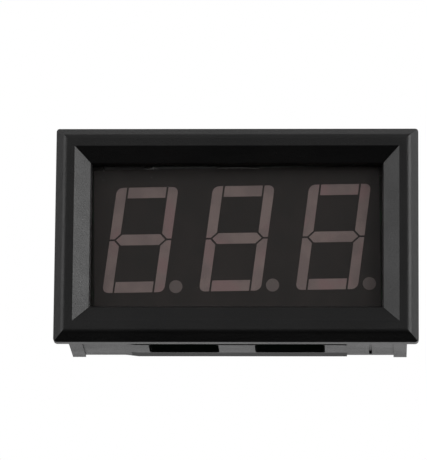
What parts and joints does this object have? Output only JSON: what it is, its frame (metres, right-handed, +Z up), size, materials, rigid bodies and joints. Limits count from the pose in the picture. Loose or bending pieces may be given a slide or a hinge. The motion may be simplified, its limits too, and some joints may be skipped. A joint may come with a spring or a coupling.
{
  "type": "digital panel meter",
  "caption": "Snap-in digital panel meter with a chamfered black bezel, a smoked window over a numeric LED display, side latch arms, and a meter board with a trimmer and lead header.",
  "frame": {"origin": "centre of the bezel on the plane of the panel's front face, which the back of the bezel seats on", "axes": "+X to the right seen from the front, +Y back through the panel, +Z up"},
  "size_m": [0.0478, 0.0187, 0.0288],
  "materials": {
    "housing_plastic": "fine spark-eroded satin moulding, black",
    "smoked_filter": "smooth smoked acrylic sheet",
    "display_plastic": "dull black face of the display module",
    "segment_resin": "frosted cast resin, unlit",
    "die_gold": "tiny bare dies",
    "substrate_laminate": "bare glass laminate",
    "tinned_metal": "dull tin plate",
    "solder": "smooth solder, satin",
    "board_laminate": "green solder mask over glass laminate",
    "chip_plastic": "fine matte moulding compound",
    "capacitor_resin": "matte yellow-brown moulding",
    "resistor_glaze": "black glaze",
    "ceramic_body": "fired tan ceramic",
    "trimmer_plastic": "blue moulded plastic",
    "rotor_plastic": "cream moulded plastic",
    "header_plastic": "natural nylon, slightly translucent",
    "header_pin_metal": "tin over brass"
  },
  "bodies": {
    "meter": {"housing": "housing_plastic", "window_filter": "smoked_filter", "display_housing": "display_plastic", "digit_left": "segment_resin", "digit_middle": "segment_resin", "digit_right": "segment_resin", "decimal_points": "segment_resin", "led_dies": "die_gold", "display_substrate": "substrate_laminate", "display_pins": "tinned_metal", "pin_solder": "solder", "circuit_board": "board_laminate", "microcontroller": "chip_plastic", "microcontroller_leads": "tinned_metal", "voltage_regulator": "chip_plastic", "regulator_leads": "tinned_metal", "polarity_diode": "chip_plastic", "diode_terminals": "tinned_metal", "input_capacitor": "capacitor_resin", "capacitor_terminals": "tinned_metal", "chip_resistors": "resistor_glaze", "resistor_caps": "tinned_metal", "chip_capacitors": "ceramic_body", "chip_capacitor_caps": "tinned_metal", "trimmer_body": "trimmer_plastic", "trimmer_terminals": "tinned_metal", "lead_header": "header_plastic", "lead_header_pins": "header_pin_metal", "lead_header_tabs": "tinned_metal"},
    "rotor": {"trimmer_rotor": "rotor_plastic"}
  },
  "joints": [
    {"name": "trimmer_turn", "type": "hinge", "parent": "meter", "child": "rotor", "pos_m": [0.0158, 0.01191, -0.0062], "axis": [0, 1, 0], "range_deg": [-130, 130]}
  ]
}
